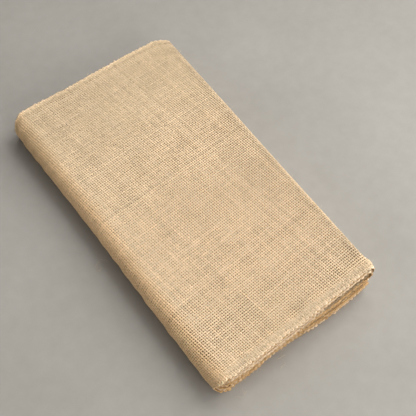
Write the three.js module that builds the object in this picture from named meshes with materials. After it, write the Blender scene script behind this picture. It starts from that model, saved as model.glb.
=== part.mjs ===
// Folded table runner: one long strip of open plain-weave jute cloth, folded in
// half four times into a flat stack of sixteen layers. Millimetres, +Z up.
// X runs across the folds (-X is the closed side, where the last fold wraps the
// whole stack), Y runs along the folds (the woven edges of every layer show at
// both ends), and the stack lies flat on Z = 0.

import * as THREE from "three";

// ---- driving sizes -----------------------------------------------------------
const CLOTH_WIDTH = 305;      // from woven edge to woven edge, along Y
const STACK_WIDTH = 162.9;    // from the closed side to the open side, along X
const SHEET = 1.3;            // thickness of one layer
const PITCH = 1.93;           // height from one layer to the next where they lie close
const HALVINGS = 4;           // times the strip is folded in half
const LAYERS = 2 ** HALVINGS;
const INNER_BULGE = 1.2;      // how far the tightest loop of a nest stands past its layers
const BULGE_STEP = 1.8;       // how much further each loop outside it stands
const LOOP_SQUARENESS = 2.3;  // 2 is an ellipse, more is squarer
const CORNER_EASE = 1.0;      // how far a fold draws in at its two ends
const CORNER_LENGTH = 16;     // over this much of its length
const EAR_REACH = 2.2;        // the upper fold's upper half stands out by this much near its near end
const EAR_FROM_END = 6.0;     // at this distance from the end
const EAR_LENGTH = 5.0;       // fading over this much either way
const SURFACE_SWELL = 0.9;    // gentle rise and fall of the top layer
const EDGE_BOW = 0.3;         // the woven ends bow outwards along Y by this much
const NEAR_SHORTER = 3.8;     // the near woven end stops this much shorter at the open side
const FAR_SHORTER = 4.5;      // and the far woven end this much
const OPEN_CORNER_SET = 6.3;  // the far woven end is set back this much at the open corner
const OPEN_SET_WIDTH = 16.6;  // over this much of the stack's width
const CLOSED_CORNER_SET = 1.2; // and both woven ends this much at the closed corners
const CORNER_SET_WIDTH = 13.6; // over this much of it
const NEAR_WAVE = 1.1;        // the lower layers' near woven ends wave by this much
const LOWER_OPEN_REACH = 1.2; // and reach this much further out at the open side
const LOWER_CLOSED_SET = 2.8; // and this much less at the closed side
const MIDDLE_REACH = 1.4;     // layers 6 to 11 reach this much further out at the near end
const HOLLOW = 3.2;           // the inner loops of the closed side lie this deep at both ends

// Where the layers stand further apart towards the open side: extra height
// above the named layer at the open side.
const OPENINGS = [
  { above: 3, atOpenSide: 0.8 },
  { above: 7, atOpenSide: 4.0 },
  { above: 11, atOpenSide: 3.2 },
];
const NEAR_OPENING = 1.0;     // share of those openings at the near end (-Y)
const FAR_OPENING = 0.0;      // and at the far end (+Y)
const NEST_PRESS = 0.05;      // where they open, the layers between lie closer by this share

// The open side (+X): nests of loops, each from its outermost pair of layers
// inwards, and how far short of the stack's side each one stops.
const OPEN_SIDE_NESTS = [
  { lower: 8, upper: 15, short: 0.0 },
  { lower: 4, upper: 7, short: 1.8 },
  { lower: 2, upper: 3, short: 4.0 },
];
const STRIP_ENDS = [
  { layer: 0, short: 3.0 },
  { layer: 1, short: 6.5 },
];

// The strip drifts a little along Y from fold to fold: one row for its start,
// one for each fold in order, one for its end.
const DRIFT = [
  { at: "start", y: 0.7 },
  { at: "fold 1", y: -1.4 },
  { at: "fold 2", y: 0.7 },
  { at: "fold 3", y: 0.2 },
  { at: "fold 4", y: 1.6 },
  { at: "fold 5", y: -0.8 },
  { at: "fold 6", y: 0.9 },
  { at: "fold 7", y: -0.2 },
  { at: "fold 8", y: 0.4 },
  { at: "fold 9", y: -1.2 },
  { at: "fold 10", y: -0.4 },
  { at: "fold 11", y: 0.8 },
  { at: "fold 12", y: -0.5 },
  { at: "fold 13", y: 0.5 },
  { at: "fold 14", y: 1.1 },
  { at: "fold 15", y: -0.9 },
  { at: "end", y: -0.3 },
];

// Mesh density
const RUN_AT = [0, 0.07, 0.36, 0.64, 0.93, 1]; // points along one layer between its folds
const LOOP_STEPS = 7;         // facets round one fold
const ROWS_AT = [-1, -0.96, -0.9, -0.78, -0.52, -0.2, 0.12, 0.42, 0.66, 0.84, 0.94, 1]; // along Y
const LENGTH_STEPS = ROWS_AT.length - 1;

// ---- fold order ----------------------------------------------------------------
// Fold a strip of `count` equal runs in half again and again, the right half over
// the left one, and give for every run its layer, counted from the bottom.
function layersOfRuns(count) {
  let stacks = Array.from({ length: count }, (_, run) => [run]);
  while (stacks.length > 1) {
    const half = stacks.length / 2;
    stacks = stacks.slice(0, half).map((stack, i) =>
      stack.concat(stacks[stacks.length - 1 - i].slice().reverse()));
  }
  const layers = new Array(count);
  stacks[0].forEach((run, layer) => { layers[run] = layer; });
  return layers;
}

// ---- shape functions -------------------------------------------------------------
const HALF_W = (STACK_WIDTH - SHEET) / 2;      // out to the outermost layer's middle surface
const CLOSED_NEST = LAYERS / 2;
const closedBulge = INNER_BULGE + BULGE_STEP * (CLOSED_NEST - 1);
const closedTangent = -HALF_W + closedBulge;   // where the layers leave the closed side's loops
const smooth = (t) => { const c = Math.min(1, Math.max(0, t)); return c * c * (3 - 2 * c); };

// v runs from -1 at the near end to +1 at the far end.
const openingShare = (v) => NEAR_OPENING + (FAR_OPENING - NEAR_OPENING) * (v + 1) / 2;
const swell = (x, v) =>
  SURFACE_SWELL * (0.5 * Math.sin(x / 31 + 1.7 * v) * Math.cos(2.1 * v - 0.4)
    + 0.35 * Math.cos(x / 19 - 2.6 * v + 0.8) - 0.25 * Math.cos(3.4 * v));

// Height of a layer's middle surface.
function layerHeight(layer, x, v) {
  const across = Math.min(1, Math.max(0, (x - closedTangent) / (HALF_W - closedTangent)));
  let z = SHEET / 2 + PITCH * layer * (1 - NEST_PRESS * openingShare(v) * across ** 1.7);
  for (const gap of OPENINGS) {
    if (layer > gap.above) z += gap.atOpenSide * openingShare(v) * across ** 1.7;
  }
  return z + swell(x, v) * (layer / (LAYERS - 1)) ** 1.3;
}

// The folds' lines aren't quite straight or square.
const closedLine = (v) => 1.2 * (1 - v * v) - 0.8 * v + 0.3 * Math.sin(5.2 * v + 0.6);
const openLine = (v) => 0.4 + 2.6 * v + 0.25 * Math.sin(4.1 * v - 0.9);
const cornerEase = (v) => {
  const fromEnd = (1 - Math.abs(v)) * CLOTH_WIDTH / 2;
  return CORNER_EASE * (1 - smooth(fromEnd / CORNER_LENGTH));
};
const ear = (v) => EAR_REACH * Math.exp(-((((v + 1) * CLOTH_WIDTH / 2 - EAR_FROM_END) / EAR_LENGTH) ** 2));

// Place along Y of a point of the strip whose own place across its width is v.
function alongY(x, layer, v, drift) {
  const u = x / HALF_W;
  const bow = EDGE_BOW * v * Math.abs(v) ** 2 * (1 - u * u);
  const atFar = smooth((v - 0.5) / 0.5), atNear = smooth((-v - 0.5) / 0.5);
  const openSet = OPEN_CORNER_SET * smooth((x - HALF_W + OPEN_SET_WIDTH) / OPEN_SET_WIDTH);
  const closedSet = CLOSED_CORNER_SET * smooth((-x - HALF_W + CORNER_SET_WIDTH) / CORNER_SET_WIDTH);
  const low = 1 - smooth((layer - 4) / 8);
  const wave = NEAR_WAVE * Math.cos(2 * Math.PI * (u + 0.75) / 1.2)
    + LOWER_OPEN_REACH * (1 + u) / 2 - LOWER_CLOSED_SET * (1 - u) / 2;
  const shorter = (v > 0 ? FAR_SHORTER : NEAR_SHORTER) * (1 + u) / 2;
  const middle = MIDDLE_REACH * (1 - smooth((Math.abs(layer - 8.5) - 2.5) / 1.5))
    * smooth((u + 1) / 0.35) * (1 - 0.35 * smooth((u - 0.8) / 0.2));
  const hollow = HOLLOW * (1 - Math.abs(layer - 7.5) / 7.5) * smooth((-u - 0.8) / 0.18);
  return v * (CLOTH_WIDTH / 2 - shorter) + bow + drift
    - (openSet + closedSet + hollow) * atFar + (closedSet + hollow - wave * low - middle) * atNear;
}

// A loop from one layer to another at one side, outermost point `bulge` past the
// tangent line. Gives [x, z, layer] from `from` to `to`, without the two tangent points.
function loop(side, from, to, tangent, bulge, v, standOut = () => 0) {
  const zFrom = layerHeight(from, tangent, v);
  const zTo = layerHeight(to, tangent, v);
  const middle = (zFrom + zTo) / 2, rise = (zTo - zFrom) / 2;
  const points = [];
  for (let i = 1; i < LOOP_STEPS; i++) {
    const a = -Math.PI / 2 + Math.PI * i / LOOP_STEPS;
    const out = Math.abs(Math.cos(a)) ** (2 / LOOP_SQUARENESS);
    const up = Math.sign(Math.sin(a)) * Math.abs(Math.sin(a)) ** (2 / LOOP_SQUARENESS);
    const layer = (from + to) / 2 + (to - from) / 2 * up;
    points.push([tangent + side * (bulge + standOut(layer)) * out, middle + rise * up, layer]);
  }
  return points;
}

function openSideOf(layer) {
  for (const nest of OPEN_SIDE_NESTS) {
    if (layer < nest.lower || layer > nest.upper) continue;
    const deepest = (nest.upper - nest.lower - 1) / 2;        // loops inside the outermost
    const order = Math.min(layer - nest.lower, nest.upper - layer);
    return {
      eared: nest.upper === LAYERS - 1,
      tangent: HALF_W - nest.short - (INNER_BULGE + BULGE_STEP * deepest),
      bulge: INNER_BULGE + BULGE_STEP * (deepest - order),
    };
  }
  const end = STRIP_ENDS.find((row) => row.layer === layer);
  return { tangent: HALF_W - end.short, bulge: 0 };
}

// Middle line of the whole strip in one cross section: [x, z, y] along the cloth.
function middleLine(v) {
  const runs = layersOfRuns(LAYERS);
  const line = [];
  const ease = cornerEase(v);
  const xAt = (x) => {                                      // the section leans with the fold lines
    const t = (x + HALF_W) / (2 * HALF_W);
    return x + closedLine(v) * (1 - t) + openLine(v) * t;
  };
  runs.forEach((layer, run) => {
    const towardsClosed = run % 2 === 0;                     // the first run goes from +X to -X
    const open = openSideOf(layer);
    const first = towardsClosed ? open.tangent : closedTangent;
    const last = towardsClosed ? closedTangent : open.tangent;
    for (const t of RUN_AT) {
      const x = first + (last - first) * t;
      const drift = DRIFT[run].y + (DRIFT[run + 1].y - DRIFT[run].y) * t;
      line.push([xAt(x), layerHeight(layer, x, v), alongY(x, layer, v, drift)]);
    }
    if (run === LAYERS - 1) return;
    const next = runs[run + 1];
    const drift = DRIFT[run + 1].y;
    if (towardsClosed) {
      const order = Math.min(layer, next);                    // 0 is the outermost loop
      const bulge = (INNER_BULGE + BULGE_STEP * (CLOSED_NEST - 1 - order)) * (1 - ease / closedBulge);
      for (const [x, z, l] of loop(-1, layer, next, closedTangent, bulge, v)) line.push([xAt(x), z, alongY(x, l, v, drift)]);
    } else {
      const standOut = (l) => (open.eared ? ear(v) * smooth((l - 8) / 6) : 0);
      for (const [x, z, l] of loop(1, layer, next, open.tangent, open.bulge, v, standOut)) line.push([xAt(x), z, alongY(x, l, v, drift)]);
    }
  });
  return line;
}

// ---- the solid -------------------------------------------------------------------
// A ring of two offset lines for each step along Y: row r, point i, face 0 or 1.
function clothGeometry() {
  const rows = [];
  for (let r = 0; r <= LENGTH_STEPS; r++) {
    const line = middleLine(ROWS_AT[r]);
    rows.push(line.map(([x, z, y], i) => {
      const a = line[Math.max(0, i - 1)], b = line[Math.min(line.length - 1, i + 1)];
      const dx = b[0] - a[0], dz = b[1] - a[1], length = Math.hypot(dx, dz);
      let nx = -dz / length, nz = dx / length;
      // at a corner of the polyline, widen the offset so that both facets keep their thickness
      const prev = [x - a[0], z - a[1]], next = [b[0] - x, b[1] - z];
      const lp = Math.hypot(...prev), ln = Math.hypot(...next);
      let widen = 1;
      if (lp > 0 && ln > 0) {
        const cosTurn = (prev[0] * next[0] + prev[1] * next[1]) / (lp * ln);
        widen = 1 / Math.sqrt(Math.max(0.4, (1 + cosTurn) / 2));
        // average of the two facets' directions
        const ux = prev[0] / lp + next[0] / ln, uz = prev[1] / lp + next[1] / ln, ul = Math.hypot(ux, uz);
        nx = -uz / ul; nz = ux / ul;
      }
      const h = SHEET / 2 * widen;
      return [[x + nx * h, y, z + nz * h], [x - nx * h, y, z - nz * h]];
    }));
  }
  const n = rows[0].length;
  const index = (r, i, face) => (r * n + i) * 2 + face;
  const positions = rows.flat(2).flat();
  const triangles = [];
  const quad = (a, b, c, d) => triangles.push(a, b, c, a, c, d);
  for (let r = 0; r < LENGTH_STEPS; r++) {
    for (let i = 0; i < n - 1; i++) {
      quad(index(r, i, 0), index(r, i + 1, 0), index(r + 1, i + 1, 0), index(r + 1, i, 0));
      quad(index(r, i, 1), index(r + 1, i, 1), index(r + 1, i + 1, 1), index(r, i + 1, 1));
    }
    quad(index(r, 0, 0), index(r + 1, 0, 0), index(r + 1, 0, 1), index(r, 0, 1));
    quad(index(r, n - 1, 0), index(r, n - 1, 1), index(r + 1, n - 1, 1), index(r + 1, n - 1, 0));
  }
  for (let i = 0; i < n - 1; i++) {
    quad(index(0, i, 0), index(0, i, 1), index(0, i + 1, 1), index(0, i + 1, 0));
    const r = LENGTH_STEPS;
    quad(index(r, i, 0), index(r, i + 1, 0), index(r, i + 1, 1), index(r, i, 1));
  }
  const geometry = new THREE.BufferGeometry();
  geometry.setAttribute("position", new THREE.Float32BufferAttribute(positions, 3));
  geometry.setIndex(triangles);
  // the lowest points lie exactly on the ground, and the box is centred over the origin
  const p = geometry.getAttribute("position");
  for (let i = 0; i < p.count; i++) if (p.getZ(i) < 1e-4) p.setZ(i, 0);
  geometry.computeBoundingBox();
  const box = geometry.boundingBox;
  geometry.translate(-(box.min.x + box.max.x) / 2, -(box.min.y + box.max.y) / 2, 0);
  geometry.computeVertexNormals();
  return geometry;
}

const jute = new THREE.MeshStandardMaterial({ color: 0xc9ab82, roughness: 0.95, metalness: 0 });

const runner = new THREE.Group();
const cloth = new THREE.Mesh(clothGeometry(), jute);
cloth.name = "runner_cloth";
runner.add(cloth);

export default runner;
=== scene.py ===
"""Folded table runner of natural jute hessian: a 305 mm wide strip folded in half
four times, its threads modelled one by one where they show. Metres, +Z up, in the
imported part's frame; the shape functions work in millimetres."""
import math

import bpy
import numpy as np
from mathutils import Matrix, Vector


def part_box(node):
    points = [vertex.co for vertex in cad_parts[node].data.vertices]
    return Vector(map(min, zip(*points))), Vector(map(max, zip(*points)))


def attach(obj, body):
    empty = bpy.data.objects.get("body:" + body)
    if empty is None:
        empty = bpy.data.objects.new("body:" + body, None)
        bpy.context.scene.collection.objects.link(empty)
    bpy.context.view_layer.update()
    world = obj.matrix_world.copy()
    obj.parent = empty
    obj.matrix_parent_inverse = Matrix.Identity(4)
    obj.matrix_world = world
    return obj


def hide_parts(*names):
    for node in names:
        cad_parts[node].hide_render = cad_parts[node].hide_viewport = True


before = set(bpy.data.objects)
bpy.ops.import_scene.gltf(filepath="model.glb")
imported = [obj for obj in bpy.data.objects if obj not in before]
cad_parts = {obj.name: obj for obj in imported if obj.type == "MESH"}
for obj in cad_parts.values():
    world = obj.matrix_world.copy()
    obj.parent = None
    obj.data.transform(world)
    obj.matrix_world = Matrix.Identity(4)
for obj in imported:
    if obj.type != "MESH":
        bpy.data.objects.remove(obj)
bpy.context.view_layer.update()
cad_low, cad_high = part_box("runner_cloth")
rng = np.random.default_rng(20)
MM = 0.001

# ---- the stack's folds, with the same sizes as the solid part (mm) -------------------
CLOTH_WIDTH, STACK_WIDTH, SHEET, PITCH = 305.0, 162.9, 1.3, 1.93
INNER_BULGE, BULGE_STEP, SQUARENESS = 1.2, 1.8, 2.3
CORNER_EASE, CORNER_LENGTH = 1.0, 16.0
EAR_REACH, EAR_FROM_END, EAR_LENGTH = 2.2, 6.0, 5.0
MIDDLE_REACH, HOLLOW = 1.4, 3.2
SURFACE_SWELL, EDGE_BOW = 0.9, 0.3
NEAR_SHORTER, FAR_SHORTER = 3.8, 4.5
OPEN_CORNER_SET, OPEN_SET_WIDTH, CLOSED_CORNER_SET, CORNER_SET_WIDTH = 6.3, 16.6, 1.2, 13.6
NEAR_WAVE, LOWER_OPEN_REACH, LOWER_CLOSED_SET = 1.1, 1.2, 2.8
OPENINGS = ((3, 0.8), (7, 4.0), (11, 3.2))           # above this layer, height at the open side
NEAR_OPENING, FAR_OPENING, NEST_PRESS = 1.0, 0.0, 0.05
OPEN_SIDE_NESTS = ((8, 15, 0.0), (4, 7, 1.8), (2, 3, 4.0))   # lower, upper, short by
STRIP_ENDS = {0: 3.0, 1: 6.5}
DRIFT = (0.7, -1.4, 0.7, 0.2, 1.6, -0.8, 0.9, -0.2, 0.4, -1.2, -0.4, 0.8, -0.5, 0.5, 1.1, -0.9, -0.3)
LAYERS = 16
HALF_W = (STACK_WIDTH - SHEET) / 2
HALF_L = CLOTH_WIDTH / 2
CLOSED_BULGE = INNER_BULGE + BULGE_STEP * 7
CLOSED_TANGENT = -HALF_W + CLOSED_BULGE


def layers_of_runs(count):
    stacks = [[run] for run in range(count)]
    while len(stacks) > 1:
        stacks = [stacks[i] + stacks[len(stacks) - 1 - i][::-1] for i in range(len(stacks) // 2)]
    layers = [0] * count
    for layer, run in enumerate(stacks[0]):
        layers[run] = layer
    return layers


RUNS = layers_of_runs(LAYERS)


def smooth(t):
    c = np.clip(t, 0, 1)
    return c * c * (3 - 2 * c)


def swell(x, v):
    return SURFACE_SWELL * (0.5 * np.sin(x / 31 + 1.7 * v) * np.cos(2.1 * v - 0.4)
                            + 0.35 * np.cos(x / 19 - 2.6 * v + 0.8) - 0.25 * np.cos(3.4 * v))


def layer_height(layer, x, v):
    across = np.clip((x - CLOSED_TANGENT) / (HALF_W - CLOSED_TANGENT), 0, 1)
    share = NEAR_OPENING + (FAR_OPENING - NEAR_OPENING) * (v + 1) / 2
    z = SHEET / 2 + PITCH * layer * (1 - NEST_PRESS * share * across ** 1.7)
    for above, height in OPENINGS:
        if layer > above:
            z = z + height * share * across ** 1.7
    return z + swell(x, v) * (layer / (LAYERS - 1)) ** 1.3


def x_at(x, v):
    t = (x + HALF_W) / (2 * HALF_W)
    closed = 1.2 * (1 - v * v) - 0.8 * v + 0.3 * np.sin(5.2 * v + 0.6)
    opened = 0.4 + 2.6 * v + 0.25 * np.sin(4.1 * v - 0.9)
    return x + closed * (1 - t) + opened * t


def y_at(x, layer, v, drift):
    u = x / HALF_W
    bow = EDGE_BOW * v * v * v * (1 - u * u)
    at_far, at_near = smooth((v - 0.5) / 0.5), smooth((-v - 0.5) / 0.5)
    open_set = OPEN_CORNER_SET * smooth((x - HALF_W + OPEN_SET_WIDTH) / OPEN_SET_WIDTH)
    closed_set = CLOSED_CORNER_SET * smooth((-x - HALF_W + CORNER_SET_WIDTH) / CORNER_SET_WIDTH)
    low = 1 - smooth((layer - 4) / 8)
    wave = (NEAR_WAVE * np.cos(2 * np.pi * (u + 0.75) / 1.2)
            + LOWER_OPEN_REACH * (1 + u) / 2 - LOWER_CLOSED_SET * (1 - u) / 2)
    shorter = np.where(v > 0, FAR_SHORTER, NEAR_SHORTER) * (1 + u) / 2
    middle = (MIDDLE_REACH * (1 - smooth((np.abs(layer - 8.5) - 2.5) / 1.5))
              * smooth((u + 1) / 0.35) * (1 - 0.35 * smooth((u - 0.8) / 0.2)))
    hollow = HOLLOW * (1 - np.abs(layer - 7.5) / 7.5) * smooth((-u - 0.8) / 0.18)
    return (v * (HALF_L - shorter) + bow + drift - (open_set + closed_set + hollow) * at_far
            + (closed_set + hollow - wave * low - middle) * at_near)


def open_side_of(layer):
    for lower, upper, short in OPEN_SIDE_NESTS:
        if lower <= layer <= upper:
            deepest = (upper - lower - 1) / 2
            order = min(layer - lower, upper - layer)
            return (upper == LAYERS - 1,
                    HALF_W - short - (INNER_BULGE + BULGE_STEP * deepest),
                    INNER_BULGE + BULGE_STEP * (deepest - order))
    return False, HALF_W - STRIP_ENDS[layer], 0.0


def section(v, run_points, loop_points):
    """Middle surface of the strip: places (rows of v, points along the strip, 3), and
    for every run and fold the columns that it takes."""
    v = np.asarray(v, float).reshape(-1, 1)
    parts, spans, at = [], [], 0
    t = 0.5 - 0.5 * np.cos(np.pi * np.linspace(0, 1, run_points))
    t = 0.35 * t + 0.65 * np.linspace(0, 1, run_points)
    angle = -np.pi / 2 + np.pi * np.arange(1, loop_points) / loop_points
    ex = np.abs(np.cos(angle)) ** (2 / SQUARENESS)
    ez = np.sign(np.sin(angle)) * np.abs(np.sin(angle)) ** (2 / SQUARENESS)
    end_gap = (1 - np.abs(v)) * HALF_L
    ease = CORNER_EASE * (1 - smooth(end_gap / CORNER_LENGTH))
    ear = EAR_REACH * np.exp(-(((v + 1) * HALF_L - EAR_FROM_END) / EAR_LENGTH) ** 2)
    for run, layer in enumerate(RUNS):
        to_closed = run % 2 == 0
        eared, tangent, bulge = open_side_of(layer)
        first, last = (tangent, CLOSED_TANGENT) if to_closed else (CLOSED_TANGENT, tangent)
        x = (first + (last - first) * t)[None]
        drift = DRIFT[run] + (DRIFT[run + 1] - DRIFT[run]) * t[None]
        parts.append(np.stack(np.broadcast_arrays(
            x_at(x, v), y_at(x, layer, v, drift), layer_height(layer, x, v)), -1))
        spans.append((at, at + run_points))
        at += run_points
        if run == LAYERS - 1:
            break
        following, drift = RUNS[run + 1], DRIFT[run + 1]
        if to_closed:
            side, tangent = -1, CLOSED_TANGENT
            order = min(layer, following)
            out = (INNER_BULGE + BULGE_STEP * (7 - order)) * (1 - ease / CLOSED_BULGE)
        else:
            side, out = 1, bulge + 0 * v
        z0, z1 = layer_height(layer, np.float64(tangent), v), layer_height(following, np.float64(tangent), v)
        z = (z0 + z1) / 2 + (z1 - z0) / 2 * ez[None]
        lies = (layer + following) / 2 + (following - layer) / 2 * ez[None]
        if eared and not to_closed:
            out = out + ear * smooth((lies - 8) / 6)
        x = tangent + side * out * ex[None]
        parts.append(np.stack(np.broadcast_arrays(x_at(x, v), y_at(x, lies, v, drift), z), -1))
        spans.append((at, at + loop_points - 1))
        at += loop_points - 1
    return np.concatenate(parts, 1), spans


def waves(count, shortest, longest, seed):
    """A smooth uneven line: a sum of sines of lengths between the two, about 1 high."""
    r = np.random.default_rng(seed)
    lengths = np.exp(r.uniform(math.log(shortest), math.log(longest), count))
    phases, sizes = r.uniform(0, 2 * np.pi, count), r.uniform(0.5, 1, count)
    sizes /= np.sqrt((sizes ** 2).sum() / 2)

    def line(p):
        p = np.asarray(p, float)
        total = np.zeros_like(p)
        for length, phase, size in zip(lengths, phases, sizes):
            total += size * np.sin(2 * np.pi * p / length + phase)
        return total
    return line


# A fine table of the middle surface, read between its points
even = np.linspace(-1, 1, 131)
ROWS = 0.86 * even + 0.14 * np.sin(np.pi * even / 2) ** 3
TABLE, SPANS = section(ROWS, 90, 40)
middle_row = TABLE[len(ROWS) // 2]
ALONG = np.concatenate([[0], np.cumsum(np.maximum(1e-6, np.hypot(
    np.diff(middle_row[:, 0]), np.diff(middle_row[:, 2]))))])
LENGTH = ALONG[-1]
FOLD_SPANS = SPANS[1::2]
RUN_SPANS = SPANS[0::2]

# the box is centred over the origin, as the solid's is; the woven edges aren't quite straight
for axis in (0, 1):
    TABLE[..., axis] -= (TABLE[..., axis].min() + TABLE[..., axis].max()) / 2
LAYER_ALONG = np.zeros(len(ALONG))
for k, (a, b) in enumerate(SPANS):
    LAYER_ALONG[a:b] = RUNS[k // 2] if k % 2 == 0 else np.linspace(RUNS[k // 2], RUNS[k // 2 + 1], b - a)
X_ALONG = middle_row[:, 0].copy()


def in_gap(s):
    """How deep in the shade of an open gap the upper side of the layer below it lies."""
    layer, x = np.interp(s, ALONG, LAYER_ALONG), np.interp(s, ALONG, X_ALONG)
    across = np.clip((x - CLOSED_TANGENT) / (HALF_W - CLOSED_TANGENT), 0, 1)
    below = sum(share * np.exp(-((layer - above) / 0.3) ** 2) for (above, _), share in zip(OPENINGS[1:], (1.0, 0.8)))
    return below * smooth((across - 0.42) / 0.42)


near_edge_wave, near_crumbs = waves(6, 18, 90, 3), waves(9, 4.5, 15, 5)
far_edge_wave, far_crumbs = waves(6, 18, 90, 4), waves(9, 5, 17, 6)
TABLE[..., 1] += ((0.13 * near_edge_wave(ALONG) + 0.17 * near_crumbs(ALONG))[None] * smooth((-ROWS[:, None] - 0.9) / 0.1)
                  + (0.22 * far_edge_wave(ALONG) + 0.14 * far_crumbs(ALONG))[None] * smooth((ROWS[:, None] - 0.9) / 0.1))


def normals_of(table):
    du = np.gradient(table, axis=1)
    dv = np.gradient(table, axis=0)
    n = np.cross(du, dv)
    return n / np.maximum(np.linalg.norm(n, axis=-1, keepdims=True), 1e-9)


NORMALS = normals_of(TABLE)

# Soft unevenness of the outer layer, along its normal: ripples down the closed side,
# a low ridge where it turns on to the top, faint wide hollows on the top.
outer_from, outer_to = ALONG[FOLD_SPANS[0][0]], ALONG[FOLD_SPANS[1][1] - 1]
top_from, top_to = ALONG[RUN_SPANS[1][0]], ALONG[RUN_SPANS[1][1] - 1]
ripple_lines = waves(6, 11, 34, 8)
fold_lines = waves(5, 25, 90, 9)
hollow_a, hollow_b = waves(5, 35, 120, 10), waves(5, 40, 140, 11)


def relief(s, v):
    y = v * HALF_L
    on_side = smooth((s - outer_from) / 12) * (1 - smooth((s - top_from - 6) / 16))
    ridge = np.exp(-((s - top_from + 3) / 4.5) ** 2)
    on_top = smooth((s - top_from) / 15) * (1 - smooth((s - top_to + 5) / 12))
    r = 0.20 * on_side * (ripple_lines(y + 0.35 * s) + 0.6) + 0.16 * ridge * (1 + 0.8 * fold_lines(y))
    r = r + 0.15 * on_top * hollow_a(y + 0.5 * s) * hollow_b(s - 0.3 * y)
    r = r + 0.22 * np.exp(-((s - top_to - 1) / 4) ** 2) * (0.4 + fold_lines(y * 1.3 + 40))
    return r


NORMAL_SHIFT = relief(ALONG[None], ROWS[:, None])
TABLE = TABLE + NORMALS * NORMAL_SHIFT[..., None]
NORMALS = normals_of(TABLE)


def surface(s, v, lift=0.0):
    """Points of the middle surface (mm) at lengths s along the strip and places v across
    it, lifted along the normal, and the normals."""
    s, v = np.broadcast_arrays(np.asarray(s, float), np.asarray(v, float))
    a = np.clip(np.searchsorted(ALONG, s) - 1, 0, len(ALONG) - 2)
    b = np.clip(np.searchsorted(ROWS, v) - 1, 0, len(ROWS) - 2)
    fa = ((s - ALONG[a]) / (ALONG[a + 1] - ALONG[a]))[..., None]
    fb = ((v - ROWS[b]) / (ROWS[b + 1] - ROWS[b]))[..., None]

    def read(t):
        return ((t[b, a] * (1 - fa) + t[b, a + 1] * fa) * (1 - fb)
                + (t[b + 1, a] * (1 - fa) + t[b + 1, a + 1] * fa) * fb)
    n = read(NORMALS)
    n = n / np.maximum(np.linalg.norm(n, axis=-1, keepdims=True), 1e-9)
    return read(TABLE) + n * np.asarray(lift)[..., None], n


# ---- the weave: where each thread lies in the flat strip ------------------------------
WEFT_PITCH, WARP_PITCH, SELVEDGE_PITCH = 1.94, 2.02, 1.42
NEAR_SELVEDGE, FAR_SELVEDGE = 8.0, 5.5     # width of the denser, tufted bands at the woven edges
LEAN = 0.135              # the wefts aren't square to the strip: millimetres along it for each across
SLANT = 0.042             # the warps climb towards +Y along the top, less so near the woven edges
AMPLITUDE = 0.29
margin = LEAN * HALF_L + 8
steps = WEFT_PITCH * (1 + 0.03 * rng.standard_normal(int((LENGTH + 2 * margin) / WEFT_PITCH)))
WEFT_AT = -margin + np.concatenate([[0], np.cumsum(steps)])
WEFT_AT += 0.10 * waves(8, 20, 90, 21)(WEFT_AT)
WEFTS = len(WEFT_AT)
warp_at = [-HALF_L + 0.75]
while warp_at[-1] < HALF_L:
    edge = HALF_L - abs(warp_at[-1])
    band = NEAR_SELVEDGE if warp_at[-1] < 0 else FAR_SELVEDGE
    pitch = SELVEDGE_PITCH + (WARP_PITCH - SELVEDGE_PITCH) * float(smooth((edge - band + 1.5) / 2.5))
    warp_at.append(warp_at[-1] + pitch * (1 + 0.03 * rng.standard_normal()))
warp_at = np.array(warp_at[:-1])
WARP_AT = (warp_at - warp_at[0]) / (warp_at[-1] - warp_at[0]) * (CLOTH_WIDTH - 1.5) - HALF_L + 0.75
WARPS = len(WARP_AT)
wobble_s, wobble_y = waves(6, 18, 120, 31), waves(6, 18, 120, 32)
top_middle = (top_from + top_to) / 2


def between(values, index):
    """Values at whole indices, read at any index, running on past both ends."""
    k = np.clip(np.floor(index).astype(int), 0, len(values) - 2)
    return values[k] + (values[k + 1] - values[k]) * (index - k)


def cloth_point(i, j):
    """(s, v) of weft number i and warp number j, whole or not."""
    i, j = np.broadcast_arrays(np.asarray(i, float), np.asarray(j, float))
    y0 = between(WARP_AT, j)
    free = smooth((HALF_L - np.abs(y0)) / 26)
    s0 = between(WEFT_AT, i)
    y, s = y0.copy(), s0 - LEAN * y0
    for _ in range(3):
        off = np.clip(s - top_middle, -140, 140)
        y = y0 + SLANT * off * free + 0.065 * free * wobble_y(s + 37.7 * np.round(j))
        s = s0 - LEAN * y + 0.065 * wobble_s(y + 53.3 * np.round(i)) - 0.5 * LEAN * y * (np.abs(y) / HALF_L) ** 2 * 0.12
    return s, y / HALF_L


ROUGH = np.random.default_rng(61).uniform(-1, 1, (6, 509, 251))


def rough(kind, i, j):
    """Random number of each crossing, -1 to 1, the same for both of its threads."""
    i, j = np.broadcast_arrays(np.asarray(i, float), np.asarray(j, float))
    table = ROUGH[kind]
    low = table[np.floor(i).astype(int) % 509, np.floor(j).astype(int) % 251]
    high = table[np.ceil(i).astype(int) % 509, np.ceil(j).astype(int) % 251]
    return (low + high) / 2


def tufted(v):
    """1 in the bands along the woven edges, 0 between them."""
    y = v * HALF_L
    return np.maximum(smooth((-y - HALF_L + NEAR_SELVEDGE + 1) / 2.5), smooth((y - HALF_L + FAR_SELVEDGE + 1) / 2.5))


def openness(v, s=None):
    """How open and bold the weave is: tighter and flatter towards the far end and the closed side."""
    bold = np.interp(v, (-1, -0.6, 0, 0.3, 0.7, 1), (1.45, 1.48, 1.45, 1.05, 0.10, 0.04))
    if s is None:
        return bold
    return bold * (1 - 0.30 * (1 - smooth((s - top_from) / 75)) * smooth((v + 0.75) / 0.45))


def zone_of(fold, before, after):
    """From `before` mm ahead of a fold to `after` mm past it, along the strip."""
    a, b = FOLD_SPANS[fold]
    return ALONG[a] - before, ALONG[b - 1] + after


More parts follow.
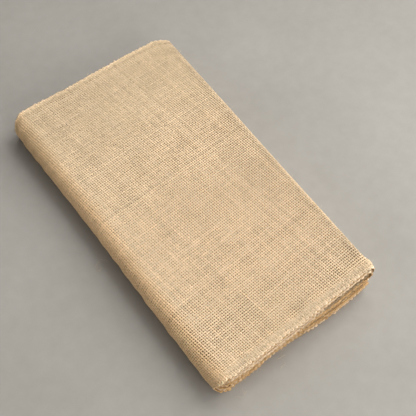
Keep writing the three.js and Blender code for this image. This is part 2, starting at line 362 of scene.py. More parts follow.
# where threads are modelled: the outer layer round the stack, the two lower folds of the open side
ZONES = [(zone_of(0, 5, 0)[0], zone_of(1, 0, 6)[1]), zone_of(3, 4, 2.5), zone_of(7, 3, 2.5)]


def in_zone(s):
    found = np.zeros(np.shape(s), bool)
    for a, b in ZONES:
        found |= (s >= a) & (s <= b)
    return found


# ---- colours (linear) -------------------------------------------------------------------
def linear(*srgb):
    c = np.array(srgb, float) / 255
    return np.where(c <= 0.04045, c / 12.92, ((c + 0.055) / 1.055) ** 2.4)


JUTE = linear(214, 189, 154) * np.array([1.065, 1.085, 1.12])
mottle_a, mottle_b = waves(6, 22, 110, 41), waves(6, 22, 110, 42)
mottle_c, mottle_d = waves(6, 9, 30, 43), waves(6, 9, 30, 44)


def tone(s, v, own, warm):
    """Linear colour of thread points: slow mottling of the cloth, the thread's own shade and the light and shade that
    callers paint into own, plus painted light and shade of its own: the closed side's wall paler and warmer, the open
    side's fold rim darker but paler at the near end, and the far woven edge paler. It is also a little darker towards
    the open side and towards the far end.
    """
    y = v * HALF_L
    wall = smooth((s - outer_from) / 6) * (1 - smooth((s - top_from + 11) / 13))
    rim = smooth((s - top_to + 4) / 6) * (1 - smooth((s - outer_to - 4) / 6))
    near_end = smooth((-v - 0.86) / 0.08)
    # painted light and shade: the closed side's wall paler, the open fold's rim darker (paler at the near end), the far
    # woven edge paler
    slow = (0.15 * wall - 0.05 * smooth((s - top_to + 50) / 45) * (1 - smooth((s - outer_to - 4) / 6)) - 0.12 * rim * (1 - near_end) + 0.10 * rim * near_end - 0.20 * (1 - openness(v) / 1.55)
            + 0.26 * smooth((v - 0.962) / 0.03)
            + 0.013 * mottle_a(s + 0.4 * y) * mottle_b(y - 0.3 * s) + 0.009 * mottle_c(s) * mottle_d(y))
    value = (1 + slow + own)[..., None]
    far = 1 - openness(v) / 1.6
    # painted shade: the closed side's wall warmer in hue
    hue = np.stack([1 + 0.10 * warm + 0.09 * wall - 0.01 * far, 1 - 0.035 * far + 0.0 * warm,
                    1 - 0.22 * warm - 0.11 * wall - 0.065 * far], -1)
    return np.clip(JUTE * value * hue, 0.01, 0.95)


# ---- meshes from arrays --------------------------------------------------------------------
class Bunch:
    """Threads collected into one mesh: four-sided flattened tubes with closed ends, their side corners painted in shade
    and their top corners in a faint painted highlight.
    """
    SIDES = np.array([[-1.0, -0.2], [-0.52, 1.0], [0.52, 1.0], [1.0, -0.2]])
    # painted shade at each tube's side corners, darker and warmer, and a painted highlight on its top corners
    SIDE_SHADE_TOP_HIGHLIGHT = np.array([[0.22, 0.38, 0.58], [-0.03, -0.04, -0.06], [-0.03, -0.04, -0.06], [0.22, 0.38, 0.58]])

    def __init__(self):
        self.points, self.faces, self.uvs, self.tones, self.count = [], [], [], [], 0
        self.rows = 0

    def add(self, p, n, half_width, half_height, tones, bold=1.0):
        m = len(p)
        if m < 2:
            return
        t = np.gradient(p, axis=0)
        t /= np.maximum(np.linalg.norm(t, axis=1, keepdims=True), 1e-9)
        side = np.cross(n, t)
        side /= np.maximum(np.linalg.norm(side, axis=1, keepdims=True), 1e-9)
        up = np.cross(t, side)
        w, h = np.broadcast_to(half_width, m), np.broadcast_to(half_height, m)
        ring = (p[:, None] + side[:, None] * (self.SIDES[None, :, :1] * w[:, None, None])
                + up[:, None] * (self.SIDES[None, :, 1:] * h[:, None, None]))
        self.points.append(ring.reshape(-1, 3))
        # painted shade and highlight, as strong as bold
        shades = 1 - self.SIDE_SHADE_TOP_HIGHLIGHT[None] * np.broadcast_to(bold, m)[:, None, None]
        self.tones.append((tones[:, None] * shades).reshape(-1, 3))
        k = self.count + 4 * np.arange(m - 1)[:, None]
        c = np.arange(4)[None]
        d = (c + 1) % 4
        quads = np.stack([k + c, k + 4 + c, k + 4 + d, k + d], -1).reshape(-1, 4)
        x = np.linspace(0.002, 0.998, m)
        base = float(self.rows)
        u0, u1 = np.repeat(x[:-1], 4), np.repeat(x[1:], 4)
        v0 = base + np.tile(np.arange(4) / 4 * 0.84 + 0.08, m - 1)
        v1 = v0 + 0.84 / 4
        uv = np.stack([np.stack([u0, v0], -1), np.stack([u1, v0], -1),
                       np.stack([u1, v1], -1), np.stack([u0, v1], -1)], 1)
        caps = np.array([[3, 2, 1, 0], [4 * (m - 1), 4 * (m - 1) + 1, 4 * (m - 1) + 2, 4 * (m - 1) + 3]]) + self.count
        caps = caps[:, ::-1]
        cap_uv = np.array([[[0.0, .1], [0.0, .3], [.002, .5], [.002, .8]], [[.998, .1], [.998, .3], [1, .5], [1, .8]]])
        cap_uv[..., 1] += base
        self.faces.append(np.concatenate([quads, caps]))
        self.uvs.append(np.concatenate([uv, cap_uv]))
        self.count += 4 * m
        self.rows += 1

    def build(self, name, material):
        pts = np.concatenate(self.points)
        faces = np.concatenate(self.faces)[:, ::-1]
        uvs = np.concatenate(self.uvs)[:, ::-1].copy()
        uvs[..., 1] /= self.rows
        return make_mesh(name, pts, faces, uvs, np.concatenate(self.tones), material)


def make_mesh(name, points_mm, quads, uvs, tones, material, extra_uv=None):
    me = bpy.data.meshes.new(name)
    me.vertices.add(len(points_mm))
    me.vertices.foreach_set("co", (np.asarray(points_mm) * MM).astype(np.float32).ravel())
    me.loops.add(quads.size)
    me.loops.foreach_set("vertex_index", quads.astype(np.int32).ravel())
    me.polygons.add(len(quads))
    me.polygons.foreach_set("loop_start", np.arange(0, quads.size, 4, dtype=np.int32))
    me.polygons.foreach_set("loop_total", np.full(len(quads), 4, np.int32))
    me.polygons.foreach_set("use_smooth", np.ones(len(quads), bool))
    me.update(calc_edges=True)
    if extra_uv is not None:
        layer = me.uv_layers.new(name="weave", do_init=False)
        layer.uv.foreach_set("vector", np.asarray(extra_uv)[quads].astype(np.float32).ravel())
    layer = me.uv_layers.new(name="OFBake", do_init=False)
    layer.uv.foreach_set("vector", np.asarray(uvs).astype(np.float32).ravel())
    if tones is not None:
        attribute = me.color_attributes.new("tone", "FLOAT_COLOR", "POINT")
        rgba = np.ones((len(points_mm), 4), np.float32)
        rgba[:, :3] = tones
        attribute.data.foreach_set("color", rgba.ravel())
    me.validate()
    me.materials.append(material)
    ob = bpy.data.objects.new(name, me)
    bpy.context.scene.collection.objects.link(ob)
    return ob


# ---- materials --------------------------------------------------------------------------------
def yarn_material(name, grain=0.10):
    m = bpy.data.materials.new(name)
    m.use_nodes = True
    nt = m.node_tree
    p = nt.nodes["Principled BSDF"]
    p.inputs["Roughness"].default_value = 0.92
    p.inputs["Specular IOR Level"].default_value = 0.06
    a = nt.nodes.new("ShaderNodeAttribute")
    a.attribute_name = "tone"
    co = nt.nodes.new("ShaderNodeTexCoord")
    noise = nt.nodes.new("ShaderNodeTexNoise")
    noise.inputs["Scale"].default_value = 900
    noise.inputs["Detail"].default_value = 3
    nt.links.new(co.outputs["Object"], noise.inputs["Vector"])
    span = nt.nodes.new("ShaderNodeMapRange")
    span.inputs["From Min"].default_value, span.inputs["From Max"].default_value = 0.25, 0.75
    span.inputs["To Min"].default_value, span.inputs["To Max"].default_value = 1 - grain, 1 + grain
    nt.links.new(noise.outputs["Fac"], span.inputs["Value"])
    scale = nt.nodes.new("ShaderNodeVectorMath")
    scale.operation = "SCALE"
    nt.links.new(a.outputs["Color"], scale.inputs[0])
    nt.links.new(span.outputs["Result"], scale.inputs["Scale"])
    nt.links.new(scale.outputs["Vector"], p.inputs["Base Color"])
    return m


def sheet_material(name):
    """The plain weave as a pattern, for faces where the threads aren't modelled: reads the
    map "weave", whose numbers are the weft's and the warp's."""
    m = bpy.data.materials.new(name)
    m.use_nodes = True
    nt = m.node_tree
    p = nt.nodes["Principled BSDF"]
    p.inputs["Roughness"].default_value = 1.0
    p.inputs["Specular IOR Level"].default_value = 0.0
    uv = nt.nodes.new("ShaderNodeUVMap")
    uv.uv_map = "weave"
    parts = nt.nodes.new("ShaderNodeSeparateXYZ")
    nt.links.new(uv.outputs["UV"], parts.inputs["Vector"])

    def maths(kind, a, b=None):
        n = nt.nodes.new("ShaderNodeMath")
        n.operation = kind
        for k, x in enumerate((a, b)):
            if x is None:
                continue
            if isinstance(x, (int, float)):
                n.inputs[k].default_value = x
            else:
                nt.links.new(x, n.inputs[k])
        return n.outputs[0]
    i, j = parts.outputs["X"], parts.outputs["Y"]
    si = maths("POWER", maths("SINE", maths("MULTIPLY", i, math.pi)), 2)
    sj = maths("POWER", maths("SINE", maths("MULTIPLY", j, math.pi)), 2)
    hole = maths("MULTIPLY", si, sj)
    over = maths("MULTIPLY", maths("COSINE", maths("MULTIPLY", i, math.pi)),
                 maths("COSINE", maths("MULTIPLY", j, math.pi)))
    height = maths("ADD", maths("SUBTRACT", 1.0, hole), maths("MULTIPLY", maths("ABSOLUTE", over), 0.35))
    bump = nt.nodes.new("ShaderNodeBump")
    bump.inputs["Distance"].default_value = 0.0005
    bump.inputs["Strength"].default_value = 1.0
    nt.links.new(height, bump.inputs["Height"])
    nt.links.new(bump.outputs["Normal"], p.inputs["Normal"])
    a = nt.nodes.new("ShaderNodeAttribute")
    a.attribute_name = "tone"
    # painted shade: the holes between the threads darker
    shade = nt.nodes.new("ShaderNodeMapRange")
    shade.inputs["To Min"].default_value, shade.inputs["To Max"].default_value = 1.0, 0.42
    nt.links.new(hole, shade.inputs["Value"])
    scale = nt.nodes.new("ShaderNodeVectorMath")
    scale.operation = "SCALE"
    nt.links.new(a.outputs["Color"], scale.inputs[0])
    nt.links.new(shade.outputs["Result"], scale.inputs["Scale"])
    nt.links.new(scale.outputs["Vector"], p.inputs["Base Color"])
    return m


YARN = yarn_material("jute_yarn")
SHEET_MAT = sheet_material("jute_cloth_pattern")
FIBRE = yarn_material("jute_fibre", 0.05)

# ---- the cloth as one thin folded sheet, under its threads --------------------------------
EDGE_ROOM = 2.3 / HALF_L      # the woven edges' own threads take the last of the width


def build_sheet():
    rows = 46
    e = np.linspace(-1, 1, rows)
    v = (0.8 * e + 0.2 * np.sin(np.pi * e / 2) ** 3) * (1 - EDGE_ROOM)
    columns = []
    for k, (a, b) in enumerate(SPANS):
        n = 17 if k % 2 == 0 else 11
        s = np.linspace(ALONG[a], ALONG[b - 1], n)
        columns.append(s[:-1] if k < len(SPANS) - 1 else s)
    s = np.unique(np.concatenate(columns + [np.array([z + d for zone in ZONES for z in zone for d in (-1.5, 1.5)])]))
    s = s[(s >= 0) & (s <= LENGTH)]
    S, V = np.meshgrid(s, v)
    hi, lo = np.full(S.shape, 0.50), np.full(S.shape, -0.52)
    for a, b in ZONES:
        inside = smooth((S - a + 1.5) / 3) * (1 - smooth((S - b + 1.5) / 3))
        hi += (-0.36 - 0.50) * inside
        lo += (-0.62 + 0.52) * inside
    top, _ = surface(S, V, hi)
    bottom, _ = surface(S, V, lo)
    n, m = len(v), len(s)
    pts = np.concatenate([top.reshape(-1, 3), bottom.reshape(-1, 3)])
    idx = lambda r, c, f: f * n * m + r * m + c
    R, C = np.meshgrid(np.arange(n - 1), np.arange(m - 1), indexing="ij")
    upper = np.stack([idx(R, C, 0), idx(R, C + 1, 0), idx(R + 1, C + 1, 0), idx(R + 1, C, 0)], -1).reshape(-1, 4)
    lower = np.stack([idx(R, C, 1), idx(R + 1, C, 1), idx(R + 1, C + 1, 1), idx(R, C + 1, 1)], -1).reshape(-1, 4)
    r, c = np.arange(n - 1), np.arange(m - 1)
    rims = [np.stack([idx(r, 0, 0), idx(r + 1, 0, 0), idx(r + 1, 0, 1), idx(r, 0, 1)], -1),
            np.stack([idx(r, m - 1, 0), idx(r, m - 1, 1), idx(r + 1, m - 1, 1), idx(r + 1, m - 1, 0)], -1),
            np.stack([idx(0, c, 0), idx(0, c, 1), idx(0, c + 1, 1), idx(0, c + 1, 0)], -1),
            np.stack([idx(n - 1, c, 0), idx(n - 1, c + 1, 0), idx(n - 1, c + 1, 1), idx(n - 1, c, 1)], -1)]
    quads = np.concatenate([upper, lower] + rims)
    # weave numbers of each point
    y = V * HALF_L
    free = smooth((HALF_L - np.abs(y)) / 26)
    wi = np.interp(S + LEAN * y, WEFT_AT, np.arange(WEFTS))
    wj = np.interp(y - SLANT * np.clip(S - top_middle, -140, 140) * free, WARP_AT, np.arange(WARPS))
    weave = np.tile(np.stack([wi, wj], -1).reshape(-1, 2), (2, 1))
    # bake map: the strip cut in eight lengths laid beside each other, once for each face
    bands = 8
    def bake(face, S_, V_):
        q = S_ / LENGTH * bands
        band = np.clip(np.floor(q.mean(1, keepdims=True)), 0, bands - 1)
        x = (face * bands + band + 0.03 + 0.94 * (V_ / 2 + 0.5)) / (2 * bands)
        return np.stack([x, 0.01 + 0.98 * np.clip(q - band, -0.01, 1.01)], -1)
    flat_s, flat_v = np.tile(S.ravel(), 2), np.tile(V.ravel(), 2)
    uvs = []
    for face, group in ((0, upper), (1, lower), (0, rims[0]), (0, rims[1]), (0, rims[2]), (0, rims[3])):
        uvs.append(bake(face, flat_s[group], flat_v[group]))
    # painted shade: under the modelled threads the sheet is painted the dark brown shade seen in the holes, and at the
    # near end the upper sides of the layers under the open gaps are painted in the gaps' shade
    closed_up = np.clip(1 - openness(V, S) / 1.55, 0, 1)[..., None]
    painted_hole_shade = 0.12 * np.array([1.0, 0.62, 0.34]) * (1 - closed_up) + 0.85 * closed_up
    shaded = 1 - 0.95 * in_gap(S)[..., None] * smooth((-V - 0.82) / 0.06)[..., None] * np.array([0.96, 1.0, 1.04])
    colour = tone(S, V, np.zeros(S.shape), np.zeros(S.shape)) * np.where(in_zone(S)[..., None], painted_hole_shade, 0.97) * shaded
    colour2 = tone(S, V, np.zeros(S.shape), np.zeros(S.shape)) * 0.95 * shaded
    tones = np.concatenate([colour.reshape(-1, 3), colour2.reshape(-1, 3)])
    return make_mesh("runner_sheet", pts, quads, np.concatenate(uvs), tones, SHEET_MAT, extra_uv=weave)


sheet = build_sheet()

# ---- threads ------------------------------------------------------------------------------------
warp_own, weft_own = 0.048 * rng.standard_normal(WARPS), 0.050 * rng.standard_normal(WEFTS + 2)
warp_warm, weft_warm = 0.045 * rng.standard_normal(WARPS), 0.045 * rng.standard_normal(WEFTS + 2)
warp_size = np.clip(np.exp(0.07 * rng.standard_normal(WARPS)), 0.84, 1.2)
weft_size = np.clip(np.exp(0.08 * rng.standard_normal(WEFTS + 2)), 0.82, 1.22)


def slubs(length_line, count_per_metre, r):
    """Factor of a thread's width along its length: soft unevenness and a few thick places."""
    reach = float(length_line[-1] - length_line[0])
    f = 1 + 0.06 * waves(5, 6, 60, int(r.integers(1 << 30)))(length_line)
    for _ in range(r.poisson(max(0.0, reach) / 1000 * count_per_metre)):
        at, wide, big = r.uniform(length_line[0], length_line[-1]), r.uniform(4, 12), r.uniform(0.10, 0.30)
        f = f + big * np.exp(-((length_line - at) / wide) ** 2)
    return np.clip(f, 0.75, 1.4)


WARP_HALF, WEFT_HALF, YARN_HALF_HEIGHT = 0.77, 0.74, 0.32
WARP_PALER = -0.01          # how much paler than the wefts the warps are
TIGHTER = 0.22              # the yarns widen by this much as the weave tightens


def runs_of(mask):
    """(first, past the last) of every stretch of true values, two long or more."""
    edges = np.flatnonzero(np.diff(np.concatenate([[0], mask.astype(int), [0]])))
    return [(a, b) for a, b in zip(edges[::2], edges[1::2]) if b - a >= 2]


def build_threads():
    pieces = {}
    # warps run along the strip
    half = np.arange(0, 2 * WEFTS - 1) / 2
    for j in range(WARPS):
        name = "warp_threads_" + ("near", "middle", "far")[3 * j // WARPS]
        bunch = pieces.setdefault(name, Bunch())
        s, v = cloth_point(half, np.full(half.shape, float(j)))
        for a, b in runs_of(in_zone(s)):
            i, ss, vv = half[a:b], s[a:b], v[a:b]
            tuft = tufted(vv)
            bold = openness(vv, ss)
            rise = AMPLITUDE * np.clip(0.25 + 0.75 * bold, 0, 1.08)
            h = rise * np.cos(np.pi * (i + j)) * (1 + 0.20 * rough(0, i, j)) + 0.17 * tuft * rough(1, i, j)
            p, n = surface(ss, vv + 0.30 * tuft * rough(2, i, j) / HALF_L, h)
            size = warp_size[j] * slubs(ss, 3, rng) * (1 + (0.06 + 0.14 * tuft) * rough(3, i, j))
            width = WARP_HALF * (1 + TIGHTER * (1 - bold)) * (1 - 0.06 * tuft)
            # painted light and shade: the warp paler where it passes over a crossing and darker where it dips under
            own = (warp_own[j] + 0.028 * waves(4, 8, 50, 700 + j)(ss) + 0.03 * rough(4, i, j)
                   + tuft * (0.07 * rough(5, i, j) - 0.13) + bold * (WARP_PALER + 0.08 * np.cos(np.pi * (i + j))))
            bunch.add(p, n, width * size, YARN_HALF_HEIGHT * np.sqrt(size) * np.clip(0.6 + 0.4 * bold, 0, 1),
                      tone(ss, vv, own, np.full(b - a, warp_warm[j])), bold * (1 - 0.5 * tuft))
    # wefts run across it
    half = np.arange(0, 2 * WARPS - 1) / 2
    weft_parts = ZONES[0][0] + (ZONES[0][1] - ZONES[0][0]) * np.array([1, 2]) / 3
    for i in range(WEFTS):
        s, v = cloth_point(np.full(half.shape, float(i)), half)
        for a, b in runs_of(in_zone(s)):
            j = half[a:b]
            name = "weft_threads_" + ("closed", "middle", "open")[int(np.digitize(WEFT_AT[i], weft_parts))]
            bunch = pieces.setdefault(name, Bunch())
            ss, vv = s[a:b], v[a:b]
            y, tuft, bold = vv * HALF_L, tufted(vv), openness(vv, ss)
            rise = AMPLITUDE * np.clip(0.25 + 0.75 * bold, 0, 1.08)
            h = -rise * np.cos(np.pi * (i + j)) * (1 + 0.20 * rough(0, i, j)) + 0.17 * tuft * rough(1, i, j)
            p, n = surface(ss + 0.35 * tuft * rough(2, j, i), vv, h)
            size = weft_size[i] * slubs(y, 3, rng) * (1 + (0.06 + 0.16 * tuft) * rough(3, j, i))
            width = WEFT_HALF * (1 + TIGHTER * (1 - bold)) * (1 + 0.14 * tuft)
            # painted light and shade: the weft paler where it passes over a crossing and darker where it dips under
            own = (weft_own[i] + 0.028 * waves(4, 8, 50, 5000 + i)(y) + 0.03 * rough(4, j, i)
                   + tuft * (0.09 * rough(5, j, i) - 0.10) - bold * (WARP_PALER + 0.08 * np.cos(np.pi * (i + j))))
            bunch.add(p, n, width * size, YARN_HALF_HEIGHT * np.sqrt(size) * np.clip(0.6 + 0.4 * bold, 0, 1),
                      tone(ss, vv, own, np.full(b - a, weft_warm[i])), bold * (1 - 0.5 * tuft))
    return pieces


def build_edges():
    """The woven edges of all sixteen layers: their last warps, and the wefts turning round them."""
    pieces = {"edge_threads_near": Bunch(), "edge_threads_far": Bunch()}
    half = np.arange(0, 2 * WEFTS - 1) / 2
    for end, name, js in ((0, "edge_threads_near", (0, 1)), (1, "edge_threads_far", (WARPS - 1, WARPS - 2))):
        bunch = pieces[name]
        for j in js:
            s, v = cloth_point(half, np.full(half.shape, float(j)))
            for a, b in runs_of((s > 0.5) & (s < LENGTH - 0.5) & ~in_zone(s)):
                i, ss, vv = half[a:b], s[a:b], v[a:b]
                h = AMPLITUDE * np.cos(np.pi * (i + j)) + 0.12 * rough(1, i, j)
                p, n = surface(ss, vv + 0.28 * rough(2, i, j) / HALF_L, h)
                size = warp_size[j] * slubs(ss, 5, rng) * (1 + 0.18 * rough(3, i, j))
                # painted light: the edge threads paler, more so at the near end; painted shade: darker and warmer in
                # the open gaps at the near end
                own = warp_own[j] + (0.20 if end == 0 else 0.13) + 0.03 * waves(4, 8, 50, 900 + j)(ss) + 0.09 * rough(5, i, j)
                if end == 0:
                    own = own - (0.90, 1.00)[j] * in_gap(ss)
                bunch.add(p, n, 0.64 * size, YARN_HALF_HEIGHT * np.sqrt(size),
                          tone(ss, vv, own, warp_warm[j] - 0.25 + (0.9 * in_gap(ss) if end == 0 else np.zeros(b - a))))
        outward = -1.0 if end == 0 else 1.0
        j0 = float(js[0])
        for i in range(end, WEFTS - 1, 2):
            s_mid, _ = cloth_point(i + 0.5, j0)
            if not 1.5 < s_mid < LENGTH - 1.5:
                continue
            zone = bool(in_zone(s_mid))
            reach = min(0.9, 0.40 + 0.20 * rng.standard_normal()) if end == 0 else 0.52 + 0.20 * rng.standard_normal()
            turn_i = np.array([0.10, 0.5, 0.90]) + i
            turn_j = j0 + outward * np.array([0.75, 1.0, 0.75]) * max(0.2, reach)
            stub = np.array([2.0, 1.0, 0.5, 0.0]) if not zone else np.array([0.5, 0.0])
            ii = np.concatenate([np.full(len(stub), float(i)), turn_i, np.full(len(stub), i + 1.0)])
            jj = np.concatenate([j0 - outward * stub, turn_j, j0 - outward * stub[::-1]])
            sign = -np.cos(np.pi * (i + j0))
            steps_in = np.concatenate([np.cos(np.pi * stub), [0.75, 0.0, -0.75], -np.cos(np.pi * stub[::-1])])
            s, v = cloth_point(ii, jj)
            p, n = surface(s, v, AMPLITUDE * sign * steps_in)
            p = p + n * (0.12 if end == 0 else 0.08) * rng.standard_normal()
            size = weft_size[i] * float(np.exp(0.18 * rng.standard_normal())) * (1.08 if end == 0 else 1.0)
            # painted shade: the near end's turns darker and warmer in the open gaps; painted light: the turns paler,
            # more so at the near end
            shade = float(in_gap(s_mid)) if end == 0 else 0.0
            own = weft_own[i] + (0.22 if end == 0 else 0.14) + 0.09 * rng.standard_normal() - 0.82 * shade
            bunch.add(p, n, 0.62 * size * np.ones(len(p)), 0.32 * np.sqrt(size) * np.ones(len(p)),
                      tone(s, v, np.full(len(p), own), np.full(len(p), weft_warm[i] - 0.25 + 0.7 * shade)))
        # short tufts of broken yarn between the turns
        for _ in range(170 if end == 0 else 120):
            s0 = rng.uniform(2, LENGTH - 2)
            if end == 0 and float(in_gap(s0)) > 0.3:
                continue
            place, normal = surface(np.array([s0]), np.array([outward * (1 - rng.uniform(-0.2, 1.6) / HALF_L)]),
                                    np.array([rng.uniform(-0.35, 0.35)]))
            d = np.array([rng.normal() * 0.9, outward * rng.uniform(0.1, 1.0), 0.0]) + normal[0] * rng.uniform(-0.5, 0.7)
            d /= np.linalg.norm(d)
            length, n_steps = rng.uniform(1.0, 2.4), 4
            line = place + d[None] * np.linspace(-0.3, 0.7, n_steps)[:, None] * length
            line = line + rng.normal(size=(n_steps, 3)) * 0.10
            line[:, 2] = np.maximum(line[:, 2], 0.3)
            flat = np.cross(d, rng.normal(size=3))
            flat /= np.linalg.norm(flat)
            size = rng.uniform(0.20, 0.38)
            bunch.add(line, np.repeat(flat[None], n_steps, 0), size * np.array([0.6, 1.0, 0.9, 0.35]), 0.8 * size * np.array([0.6, 1.0, 0.9, 0.35]),
                      tone(np.full(n_steps, s0), np.full(n_steps, outward), np.full(n_steps, 0.06 + 0.12 * rng.normal()), np.zeros(n_steps)))
    return pieces


threads = {}
for name, bunch in {**build_threads(), **build_edges()}.items():
    threads[name] = bunch.build(name, YARN)

# ---- loose fibres ----------------------------------------------------------------------------
class Hairs:
    """Loose fibres collected into one mesh of thin three-sided tubes."""

    def __init__(self):
        self.points, self.faces, self.tones, self.uvs, self.count, self.rows = [], [], [], [], 0, 0

    def add(self, p, radius, colour):
        m = len(p)
        t = np.gradient(p, axis=0)
        t /= np.maximum(np.linalg.norm(t, axis=1, keepdims=True), 1e-9)
        ref = np.array([0.31, 0.17, 0.93])
        side = np.cross(t, ref)
        side /= np.maximum(np.linalg.norm(side, axis=1, keepdims=True), 1e-9)
        up = np.cross(t, side)
        taper = np.sin(np.linspace(0.35, np.pi - 0.25, m)) ** 0.5 * radius
        ring = []
        for k in range(4):
            a = 2 * np.pi * k / 4
            ring.append(p + (side * math.cos(a) + up * math.sin(a)) * taper[:, None])
        self.points.append(np.stack(ring, 1).reshape(-1, 3))
        self.tones.append(np.repeat(np.broadcast_to(colour, (m, 3)), 4, axis=0))
        k = self.count + 4 * np.arange(m - 1)[:, None]
        c = np.arange(4)[None]
        d = (c + 1) % 4
        quads = np.stack([k + c, k + d, k + 4 + d, k + 4 + c], -1).reshape(-1, 4)
        caps = np.array([[3, 2, 1, 0], [4 * (m - 1), 4 * (m - 1) + 1, 4 * (m - 1) + 2, 4 * (m - 1) + 3]]) + self.count
        faces = np.concatenate([quads, caps])
        self.faces.append(faces)
        uv = np.zeros((len(faces), 4, 2))
        x = self.rows % 64
        uv[:, 0] = (x + 0.15, 0.15)
        uv[:, 1] = (x + 0.85, 0.15)
        uv[:, 2] = (x + 0.85, 0.85)
        uv[:, 3] = (x + 0.15, 0.85)
        uv[..., 1] += self.rows // 64
        self.uvs.append(uv)
        self.count += 4 * m
        self.rows += 1

    def build(self, name, material):
        uvs = np.concatenate(self.uvs)
        size = max(64, self.rows // 64 + 1)
        return make_mesh(name, np.concatenate(self.points), np.concatenate(self.faces), uvs / size,
                         np.concatenate(self.tones), material)


def curl(start, direction, length, bend, r, points=7):
    """A loose fibre's line: it leaves along direction and bends at random."""
    p = [np.array(start, float)]
    d = np.array(direction, float)
    d /= np.linalg.norm(d)
    turn = r.standard_normal(3) * bend
    for _ in range(points - 1):
        turn = turn * 0.8 + r.standard_normal(3) * bend * 0.5
        d = d + turn
        d /= np.linalg.norm(d)
        q = p[-1] + d * length / (points - 1)
        q[2] = max(q[2], 0.12)
        p.append(q)
    return np.array(p)


def fibre_colour(r):
    return np.clip(JUTE * r.uniform(0.75, 1.25), 0.02, 0.85)


def build_fibres():
    r = np.random.default_rng(77)
    hairs = Hairs()
    zone = ZONES[0]
    # a thin fuzz over the outer layer
    for _ in range(900):
        s, v = r.uniform(*zone), r.uniform(-1, 1)
        p, n = surface(np.array([s]), np.array([v]), np.array([0.45]))
        flat = np.cross(n[0], r.standard_normal(3))
        flat /= np.linalg.norm(flat)
        hairs.add(curl(p[0], n[0] * r.uniform(0.1, 0.6) + flat, r.uniform(1.5, 5), 0.35, r, 5),
                  r.uniform(0.025, 0.05), fibre_colour(r))
    # more at the woven edges of all layers
    for _ in range(900):
        s, end = r.uniform(2, LENGTH - 2), r.choice([-1.0, 1.0])
        p, n = surface(np.array([s]), np.array([end * 1.002]), np.array([r.uniform(-0.4, 0.4)]))
        flat = np.array([r.standard_normal() * 0.7, end, r.standard_normal() * 0.5])
        hairs.add(curl(p[0], flat, r.uniform(1.2, 4.5), 0.35, r, 5), r.uniform(0.03, 0.055), fibre_colour(r))
    # and along both long folds
    for _ in range(260):
        s = r.choice([r.uniform(outer_from, top_from), r.uniform(top_to, top_to + 12)])
        v = r.uniform(-1, 1)
        p, n = surface(np.array([s]), np.array([v]), np.array([0.4]))
        hairs.add(curl(p[0], n[0] + r.standard_normal(3) * 0.6, r.uniform(1.5, 4.5), 0.35, r, 5),
                  r.uniform(0.03, 0.055), fibre_colour(r))
    # a few longer ones that have worked loose, lying on the table beside the cloth
    for x, y, length in ((-89, 2, 13), (-90, -6, 9), (-14, -157, 12), (-20, -158, 9), (-66, -158, 13), (-60, -159, 10)):
        for _ in range(2):
            flat = np.array([r.standard_normal(), r.standard_normal(), 0.02])
            hairs.add(curl((x + r.normal(), y + r.normal(), 0.3), flat, length, 0.42, r, 12), r.uniform(0.05, 0.08), fibre_colour(r) * 0.9)
    # flecks of dark husk caught in the outer layer
    for x, y, length in ((9.6, -59.8, 1.9), (74.0, -60.0, 1.3), (-31.0, -101.0, 1.0), (22.0, 64.0, 1.1), (-8.0, 22.0, 0.9)):
        p, n = surface(np.array([top_from + x - CLOSED_TANGENT]), np.array([y / HALF_L]), np.array([0.62]))
        flat = np.cross(n[0], r.standard_normal(3))
        hairs.add(curl(p[0], flat / np.linalg.norm(flat), length, 0.15, r, 4), 0.34, np.array([0.13, 0.085, 0.045]))
    return hairs.build("loose_fibres", FIBRE)


fibres = build_fibres()

pieces = [sheet, *threads.values(), fibres]
for piece in pieces:
    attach(piece, "root")
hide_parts("runner_cloth")

# ---- floor, light and camera ------------------------------------------------------------------
def floor_material():
    m = bpy.data.materials.new("floor_concrete")
    m.use_nodes = True
    nt = m.node_tree
    p = nt.nodes["Principled BSDF"]
    p.inputs["Roughness"].default_value = 0.72
    p.inputs["Specular IOR Level"].default_value = 0.25
    co = nt.nodes.new("ShaderNodeTexCoord")
    broad = nt.nodes.new("ShaderNodeTexNoise")
    broad.inputs["Scale"].default_value, broad.inputs["Detail"].default_value = 7.0, 5
    fine = nt.nodes.new("ShaderNodeTexNoise")
    fine.inputs["Scale"].default_value, fine.inputs["Detail"].default_value = 90.0, 4
    for n in (broad, fine):
        nt.links.new(co.outputs["Object"], n.inputs["Vector"])
    mix = nt.nodes.new("ShaderNodeMix")
    mix.data_type = "FLOAT"
    mix.inputs[0].default_value = 0.35
    nt.links.new(broad.outputs["Fac"], mix.inputs[2])
    nt.links.new(fine.outputs["Fac"], mix.inputs[3])
    ramp = nt.nodes.new("ShaderNodeValToRGB")
    e = ramp.color_ramp.elements
    e[0].position, e[0].color = 0.30, (*(0.69 * linear(172, 167, 158)), 1)
    e[1].position, e[1].color = 0.70, (*(0.69 * linear(186, 181, 173)), 1)
    nt.links.new(mix.outputs[0], ramp.inputs["Fac"])
    # painted light: paler towards the camera's side
    along = nt.nodes.new("ShaderNodeVectorMath")
    along.operation = "DOT_PRODUCT"
    along.inputs[1].default_value = (-0.590, -0.807, 0)
    nt.links.new(co.outputs["Object"], along.inputs[0])
    paler = nt.nodes.new("ShaderNodeMapRange")
    paler.inputs["From Min"].default_value, paler.inputs["From Max"].default_value = -0.3, 0.3
    paler.inputs["To Min"].default_value, paler.inputs["To Max"].default_value = 0.985, 1.15
    nt.links.new(along.outputs["Value"], paler.inputs["Value"])
    scale = nt.nodes.new("ShaderNodeVectorMath")
    scale.operation = "SCALE"
    nt.links.new(ramp.outputs["Color"], scale.inputs[0])
    nt.links.new(paler.outputs["Result"], scale.inputs["Scale"])
    nt.links.new(scale.outputs["Vector"], p.inputs["Base Color"])
    return m


bpy.ops.mesh.primitive_plane_add(size=6)
floor = bpy.context.object
floor.name = "floor"
floor.data.materials.append(floor_material())

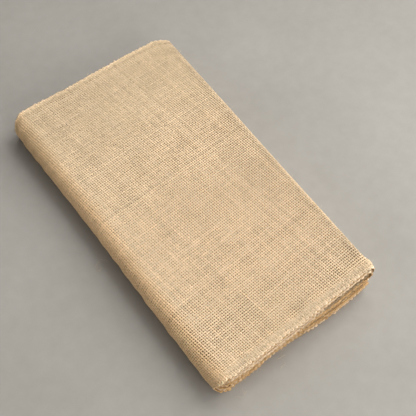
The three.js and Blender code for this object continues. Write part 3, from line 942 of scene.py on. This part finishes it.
world = bpy.data.worlds.new("studio")
bpy.context.scene.world = world
world.use_nodes = True
world.node_tree.nodes["Background"].inputs["Color"].default_value = (1.0, 0.985, 0.965, 1)
world.node_tree.nodes["Background"].inputs["Strength"].default_value = 0.01


def area(name, place, target, size, power, colour=(1, 1, 1)):
    light = bpy.data.lights.new(name, "AREA")
    light.shape, light.size, light.size_y = "RECTANGLE", size[0], size[1]
    light.energy, light.color = power, colour
    ob = bpy.data.objects.new(name, light)
    bpy.context.scene.collection.objects.link(ob)
    ob.location = place
    ob.rotation_euler = (Vector(target) - Vector(place)).to_track_quat("-Z", "Y").to_euler()
    return ob


# soft square lights on a dome round the stack: azimuth from +X and elevation (degrees), power
LIGHT_DISTANCE, LIGHT_SIZE = 1.7, 0.9
LIGHTS = (
    dict(azimuth=0, elevation=28, power=16.2), dict(azimuth=45, elevation=28, power=3.7),
    dict(azimuth=180, elevation=28, power=4.8), dict(azimuth=270, elevation=28, power=12.9),
    dict(azimuth=315, elevation=28, power=3.9), dict(azimuth=0, elevation=56, power=12.0),
    dict(azimuth=45, elevation=56, power=5.1), dict(azimuth=315, elevation=56, power=5.5),
    dict(azimuth=0, elevation=88, power=1.7),
)
for k, row in enumerate(LIGHTS):
    a, e = math.radians(row["azimuth"]), math.radians(row["elevation"])
    place = [LIGHT_DISTANCE * c for c in (math.cos(a) * math.cos(e), math.sin(a) * math.cos(e), math.sin(e))]
    area(f"soft_light_{k + 1}", place, (0, 0, 0), (LIGHT_SIZE, LIGHT_SIZE), row["power"])

# the camera, from the fit of the part's outline: focal length in pixels, azimuth and
# elevation, the pixel where the part's origin shows, and its distance
FOCAL_PX, AZIMUTH, ELEVATION, ORIGIN_PX, DISTANCE, FRAME_PX = 909.3, -36.17, 60.0, (187.29, 208.19), 0.78718, 416
a, e = math.radians(AZIMUTH), math.radians(ELEVATION)
forward = Vector((-math.sin(a) * math.cos(e), math.cos(a) * math.cos(e), -math.sin(e)))
right = Vector((math.cos(a), math.sin(a), 0))
up = right.cross(forward)
ray = Vector(((ORIGIN_PX[0] - FRAME_PX / 2) / FOCAL_PX, (ORIGIN_PX[1] - FRAME_PX / 2) / FOCAL_PX, 1)).normalized() * DISTANCE
camera_data = bpy.data.cameras.new("camera")
camera_data.sensor_fit = "HORIZONTAL"
camera_data.sensor_width = 36
camera_data.lens = 36 * FOCAL_PX / FRAME_PX
camera = bpy.data.objects.new("camera", camera_data)
bpy.context.scene.collection.objects.link(camera)
place = -(right * ray.x - up * ray.y + forward * ray.z)
camera.matrix_world = Matrix((
    (right.x, up.x, -forward.x, place.x), (right.y, up.y, -forward.y, place.y),
    (right.z, up.z, -forward.z, place.z), (0, 0, 0, 1)))
bpy.context.scene.camera = camera
bpy.context.scene.view_settings.view_transform = "Standard"
